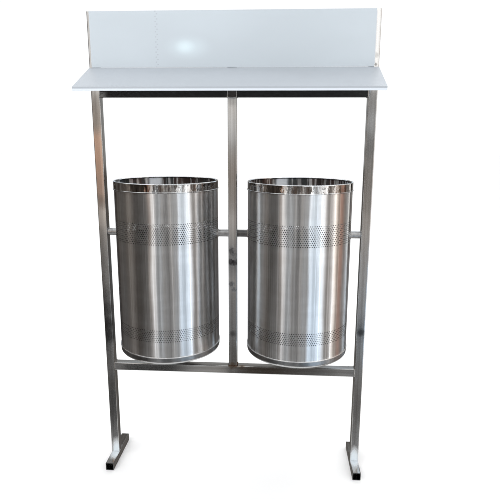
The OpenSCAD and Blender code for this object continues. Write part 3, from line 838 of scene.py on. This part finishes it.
wall = FlatTree("studio_flats")
wx, wy, wz = wall.xyz()
theta = wall.math("MULTIPLY", wall.math("ARCTAN2", wx, wall.math("MULTIPLY", wy, -1.0)), 180 / math.pi)
place = wall.vec(wx, wy, wz)
sway = wall.math("SUBTRACT", wall.noise(place, 2.3, 2.0, 0.5), 0.5)
theta_w = wall.math("MULTIPLY_ADD", sway, 1.6, theta)
tone = wall.mix(wall.math("GREATER_THAN", theta_w, -30.5),
                wall.tones(theta_w, BANDS_A, -180.0, -30.5), wall.tones(theta_w, BANDS_B, -30.5, 41.5))
tone = wall.mix(wall.math("GREATER_THAN", theta_w, 41.5), tone, wall.tones(theta_w, BANDS_C, 41.5, 180.0))
# cooler towards the floor, warmer at the top
cool = wall.n("Mix", data_type="RGBA", blend_type="MULTIPLY")
cool.inputs[0].default_value = 1.0
blue = wall.n("Mix", data_type="RGBA", blend_type="MULTIPLY")
wall.put(blue.inputs[0], wall.math("MULTIPLY", near(wall, theta, 40.0, 26.0), wall.ramp(wz, 0.62, 0.30)))
wall.put(blue.inputs[6], tone)
blue.inputs[7].default_value = (0.82, 0.98, 1.13, 1.0)
wall.put(cool.inputs[6], blue.outputs[2])
wall.put(cool.inputs[7], wall.mix(wall.ramp(wz, 0.60, 0.25), (1.02, 1.0, 0.98), (0.93, 0.985, 1.05)))
tone = cool.outputs[2]
clutter = wall.noise(place, 6.0, 3.0, 0.6)
tone = wall.mix(wall.math("MULTIPLY", wall.ramp(clutter, 0.56, 0.66, 0.0, 0.75), wall.ramp(wz, 0.66, 0.80)), tone, (0.07, 0.064, 0.055))
strips = 0.0
for at, width, tones in ((-33.6, 3.2, LEFT_TONES), (-5.3, 2.6, CENTER_TONES), (24.3, 2.8, RIGHT_TONES)):
    strips = wall.math("MAXIMUM", strips, near(wall, theta, at, width))
    strip = wall.tones(wall.math("MULTIPLY_ADD", sway, 0.05, wz), tones, -1.05, 1.75)
    tone = wall.mix(near(wall, theta, at, width), tone, strip)
low = wall.tones(theta, FLOOR_TONES, -180.0, 180.0)
# lower still, the pale floor itself
low = wall.mix(wall.math("MULTIPLY", wall.ramp(wz, -0.56, -0.70), wall.ramp(wall.math("ABSOLUTE", theta), 75.0, 60.0)), low, (0.80, 0.81, 0.82))
low_at = wall.ramp(wall.math("MULTIPLY_ADD", sway, 0.06, wz), -0.175, -0.225)
tone = wall.mix(wall.math("MULTIPLY", low_at, wall.math("SUBTRACT", 1.0, strips)), tone, low)
# high up behind the object: a grey cloth, with two white reflectors behind the feet
behind = wall.math("MULTIPLY", wall.ramp(wall.math("ABSOLUTE", theta), 132.0, 142.0), wall.ramp(wz, 0.84, 0.92))
tone = wall.mix(behind, tone, (0.30, 0.30, 0.295))
for at in (-149.0, 157.0):
    card = wall.math("MULTIPLY", near(wall, theta, at, 9.0), wall.ramp(wz, 0.98, 1.04))
    tone = wall.mix(card, tone, (0.95, 1.10, 1.25))
wall.put(wall.glow.inputs[0], tone)
wall.glow.inputs[1].default_value = 1.0
unseen = dict(visible_camera=False, visible_diffuse=False, visible_shadow=False,
              visible_transmission=False, visible_volume_scatter=False)
N = 180
levels = (-1.6, 1.75)
wall_v = [(WALL_R * math.sin(2 * math.pi * k / N), -WALL_R * math.cos(2 * math.pi * k / N), z) for z in levels for k in range(N)]
wall_f = [[k, (k + 1) % N, N + (k + 1) % N, N + k] for k in range(N)]
stage_plane("studio_flats", wall_v, wall_f, wall.mat, **unseen)

# beyond the wall's top and foot, reflections see a pale ceiling and a grey floor
world = bpy.data.worlds.new("studio")
scene.world = world
world.use_nodes = True


class WorldTree(Tree):
    def __init__(self, world):
        self.t = world.node_tree
        self.t.nodes.clear()


w = WorldTree(world)
dx, dy, dz = w.xyz(w.n("TexCoord").outputs["Generated"])
ceiling = w.noise(w.vec(dx, dy, dz), 3.0, 3.0, 0.6)
above = w.mix(w.ramp(ceiling, 0.40, 0.56), (0.70, 0.72, 0.74), (1.55, 1.60, 1.64))
seen_color = w.mix(w.ramp(dz, -0.1, 0.1), (0.55, 0.555, 0.56), above)
paths = w.n("LightPath")
plain = w.n("Background")
plain.inputs[0].default_value = (0.995, 0.998, 1.0, 1.0)
plain.inputs[1].default_value = 1.06
seen = w.n("Background")
w.put(seen.inputs[0], seen_color)
seen.inputs[1].default_value = 1.0
pick = w.n("MixShader")
w.put(pick.inputs[0], paths.outputs["Is Glossy Ray"])
w.put(pick.inputs[1], plain.outputs[0])
w.put(pick.inputs[2], seen.outputs[0])
w_out = w.n("OutputWorld")
w.put(w_out.inputs[0], pick.outputs[0])
world.cycles.sampling_method = "NONE"


def softbox(name, at, look, size, power, color=(1, 1, 1), glossy=False):
    li = bpy.data.lights.new(name, "AREA")
    li.shape = "RECTANGLE"
    li.size, li.size_y = size
    li.energy = power
    li.color = color
    ob = bpy.data.objects.new(name, li)
    ob.location = at
    ob.rotation_mode = "QUATERNION"
    ob.rotation_quaternion = (Vector(look) - Vector(at)).to_track_quat("-Z", "Y")
    ob.visible_camera = False
    ob.visible_glossy = glossy
    scene.collection.objects.link(ob)


softbox("key", (-1.6, -2.2, 3.0), (0, 0, 0.9), (2.2, 2.2), 38.0)
softbox("top", (0.5, 0.8, 3.4), (0, 0, 0.6), (2.6, 2.0), 22.0)

scene.view_settings.view_transform = "Standard"
scene.cycles.filter_width = 0.9            # keeps the small holes crisp
